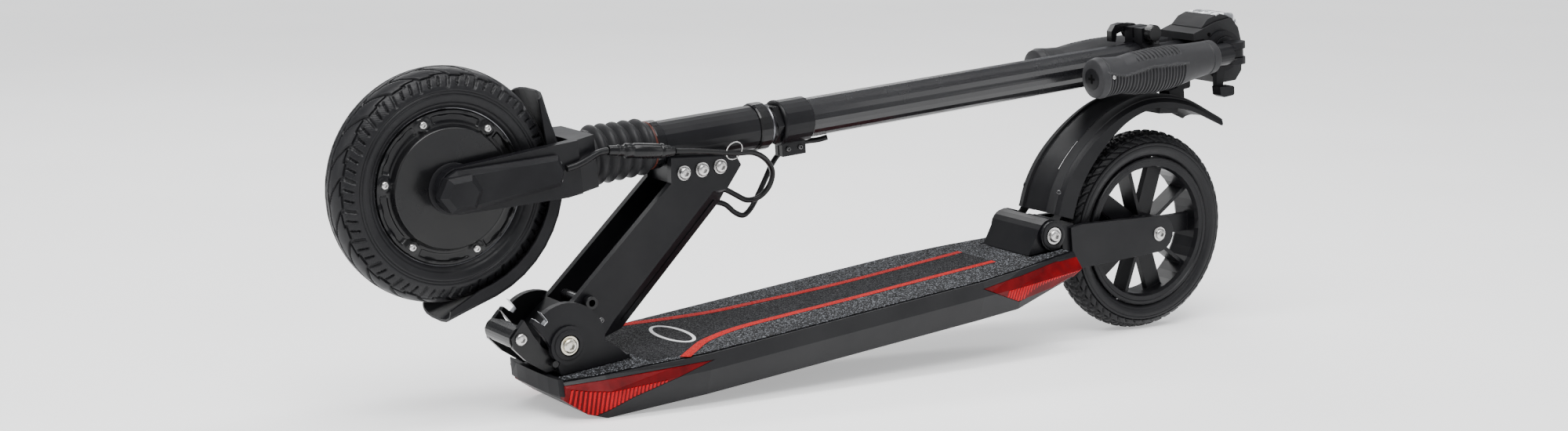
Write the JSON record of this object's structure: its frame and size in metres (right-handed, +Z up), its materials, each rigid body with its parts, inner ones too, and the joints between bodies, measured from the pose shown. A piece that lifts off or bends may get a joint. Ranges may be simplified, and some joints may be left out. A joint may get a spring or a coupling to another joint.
{
  "type": "electric kick scooter",
  "caption": "Folded electric kick scooter: long tread deck, folding neck with latch, sprung hub-motor fork, telescopic stem, fold-out grips and a sprung rear wheel under a brake mudguard.",
  "frame": {"origin": "centre of the base of the folded scooter's bounding box, on the floor", "axes": "+X from the front wheel towards the rear wheel, +Y to the rider's right, +Z up; the deck leans back by 6.5 degrees as the folded scooter stands"},
  "size_m": [0.9716, 0.148, 0.3145],
  "materials": {
    "satin_black": "satin black powder coat on alloy",
    "gloss_black": "semi-gloss black",
    "black_plastic": "fine-grained moulding",
    "rubber": "matte black",
    "tyre": "black solid rubber",
    "grey_rubber": "soft dark grey",
    "grip_tape": "gritty dark grey sheet",
    "zinc_steel": "zinc plated",
    "red_lens": "ribbed translucent red",
    "clear_lens": "clear faceted",
    "aluminium": "as machined",
    "battery_wrap": "shrink film"
  },
  "bodies": {
    "frame": {"deck": "satin_black", "bottom_cover": "satin_black", "grip_tape": "grip_tape", "nose_cap": "black_plastic", "front_left_lamp": "red_lens", "front_right_lamp": "red_lens", "rear_left_lamp": "red_lens", "rear_right_lamp": "red_lens", "hinge_bracket": "satin_black", "hinge_bolt": "zinc_steel", "battery_pack": "battery_wrap", "motor_controller": "aluminium", "suspension_housing": "satin_black", "suspension_bolt": "zinc_steel"},
    "latch": {"release_lever": "gloss_black"},
    "neck": {"neck_arm": "satin_black", "head_tube": "satin_black", "lower_headset_ring": "satin_black", "upper_headset_ring": "gloss_black", "neck_bolt_1": "zinc_steel", "neck_bolt_2": "zinc_steel", "neck_bolt_3": "zinc_steel", "latch_stud": "gloss_black", "loop_cable": "rubber"},
    "steering": {"steerer_tube": "aluminium", "lock_nut": "satin_black", "clamp_collar": "satin_black", "stem_tube": "gloss_black", "height_clamp": "satin_black", "harness_cable": "rubber"},
    "clamp_lever": {"height_clamp_lever": "gloss_black"},
    "front_fork": {"fork": "satin_black", "left_fork_cover": "black_plastic", "right_fork_cover": "black_plastic", "front_mudguard": "black_plastic", "axle_and_stator": "aluminium", "motor_cable": "rubber", "cable_connector": "gloss_black", "bellows": "rubber", "fork_spring": "zinc_steel"},
    "front_wheel": {"front_tyre": "tyre", "motor_shell": "gloss_black", "left_motor_cover": "gloss_black", "right_motor_cover": "gloss_black"},
    "swing_arm": {"rear_fork": "satin_black", "rear_axle": "satin_black"},
    "rear_wheel": {"rear_rim": "satin_black", "rear_tyre": "tyre"},
    "brake_guard": {"rear_mudguard": "black_plastic", "brake_pad": "rubber"},
    "bars": {"inner_stem": "satin_black", "head_housing": "black_plastic", "lamp_lens": "clear_lens"},
    "left_handle": {"left_bar": "satin_black", "left_grip": "grey_rubber"},
    "right_handle": {"right_bar": "satin_black", "right_grip": "grey_rubber"},
    "throttle": {"throttle_lever": "black_plastic"},
    "brake_thumb": {"brake_lever": "black_plastic"},
    "button": {"power_button": "gloss_black"}
  },
  "joints": [
    {"name": "fold", "type": "hinge", "parent": "frame", "child": "neck", "pos_m": [-0.28413, 0, 0.06353], "axis": [0, -1, 0], "range_deg": [0, 76]},
    {"name": "latch_release", "type": "hinge", "parent": "frame", "child": "latch", "pos_m": [-0.29541, 0, 0.04766], "axis": [0, 1, 0], "range_deg": [-15, 0], "stiffness_Nm_per_rad": 2, "springref_deg": 5.73},
    {"name": "steering", "type": "hinge", "parent": "neck", "child": "steering", "pos_m": [-0.38608, 0, 0.20848], "axis": [0.9966, 0, 0.0823], "range_deg": [-15, 15], "deforming": ["loop_cable", "harness_cable"]},
    {"name": "clamp_lever_open", "type": "hinge", "parent": "steering", "child": "clamp_lever", "pos_m": [0.37111, 0, 0.29808], "axis": [0, 1, 0], "range_deg": [0, 150]},
    {"name": "front_suspension", "type": "slide", "parent": "steering", "child": "front_fork", "axis": [0.9966, 0, 0.0823], "range_m": [0, 0.018], "stiffness_N_per_m": 9000, "springref_m": -0.012, "deforming": ["bellows", "fork_spring", "loop_cable"]},
    {"name": "front_wheel_spin", "type": "hinge", "parent": "front_fork", "child": "front_wheel", "pos_m": [-0.38586, 0, 0.20649], "axis": [0, 1, 0], "continuous": true},
    {"name": "stem_height", "type": "slide", "parent": "steering", "child": "bars", "axis": [0.9966, 0, 0.0823], "range_m": [0, 0.2]},
    {"name": "left_grip_fold", "type": "hinge", "parent": "bars", "child": "left_handle", "pos_m": [0.45306, -0.046, 0.27775], "axis": [-0.0823, 0, 0.9966], "range_deg": [0, 90]},
    {"name": "right_grip_fold", "type": "hinge", "parent": "bars", "child": "right_handle", "pos_m": [0.45306, 0.046, 0.27775], "axis": [0.0823, 0, -0.9966], "range_deg": [0, 90]},
    {"name": "throttle", "type": "hinge", "parent": "bars", "child": "throttle", "pos_m": [0.45306, 0, 0.27775], "axis": [0, 1, 0], "range_deg": [0, 20], "stiffness_Nm_per_rad": 0.15, "springref_deg": -5.73},
    {"name": "thumb_brake", "type": "hinge", "parent": "bars", "child": "brake_thumb", "pos_m": [0.45306, 0, 0.27775], "axis": [0, 1, 0], "range_deg": [0, 20], "stiffness_Nm_per_rad": 0.15, "springref_deg": -5.73},
    {"name": "power_button", "type": "slide", "parent": "bars", "child": "button", "axis": [-0.9966, 0, -0.0823], "range_m": [0, 0.0015], "stiffness_N_per_m": 400, "springref_m": -0.0005},
    {"name": "rear_suspension", "type": "hinge", "parent": "frame", "child": "swing_arm", "pos_m": [0.23637, 0, 0.11159], "axis": [0, 1, 0], "range_deg": [-4, 0], "stiffness_Nm_per_rad": 330, "springref_deg": 5.73},
    {"name": "rear_wheel_spin", "type": "hinge", "parent": "swing_arm", "child": "rear_wheel", "pos_m": [0.37405, 0, 0.1], "axis": [0, 1, 0], "continuous": true},
    {"name": "mudguard_brake", "type": "hinge", "parent": "frame", "child": "brake_guard", "pos_m": [0.25558, 0, 0.13218], "axis": [0, 1, 0], "range_deg": [0, 8], "stiffness_Nm_per_rad": 20, "springref_deg": -5.73}
  ]
}
